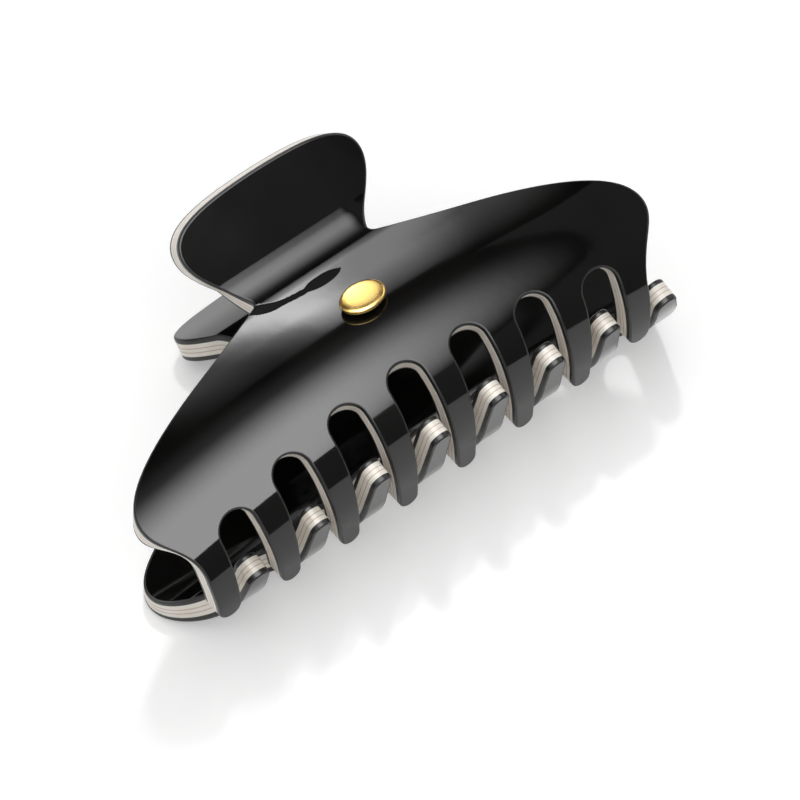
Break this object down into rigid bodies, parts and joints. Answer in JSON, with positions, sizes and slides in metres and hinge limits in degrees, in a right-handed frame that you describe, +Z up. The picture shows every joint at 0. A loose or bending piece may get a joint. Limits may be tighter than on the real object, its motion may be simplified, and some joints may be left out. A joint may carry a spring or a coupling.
{
  "type": "hair clip",
  "caption": "Claw hair clip with bent toothed jaws on a sprung hinge pin, thumb tabs behind the hinge and a plain oval ornament.",
  "frame": {"origin": "middle of the bottom of the closed clip as it lies on its lower jaw", "axes": "+X along the hinge pin, +Y from the teeth towards the thumb tabs, +Z up, with the upper jaw on top"},
  "size_m": [0.1044, 0.0566, 0.0385],
  "materials": {
    "black_sheet": "polished black sheet with an ivory core that shows on the cut edges",
    "plated_steel": "nickel plated",
    "spring_steel": "bright drawn wire",
    "gold": "polished gold plate"
  },
  "bodies": {
    "lower_half": {"lower_jaw": "black_sheet", "lower_hinge_plate": "plated_steel", "lower_plate_rivet_1": "plated_steel", "lower_plate_rivet_2": "plated_steel", "hinge_pin": "plated_steel", "torsion_spring": "spring_steel"},
    "upper_half": {"upper_jaw": "black_sheet", "upper_hinge_plate": "plated_steel", "upper_plate_rivet_1": "plated_steel", "upper_plate_rivet_2": "plated_steel", "ornament": "gold"}
  },
  "joints": [
    {"name": "jaw_hinge", "type": "hinge", "parent": "lower_half", "child": "upper_half", "pos_m": [0.0015, 0.00662, 0.01829], "axis": [-1, 0, 0], "range_deg": [0, 55], "stiffness_Nm_per_rad": 0.16, "springref_deg": -36.67, "deforming": ["torsion_spring"]}
  ]
}
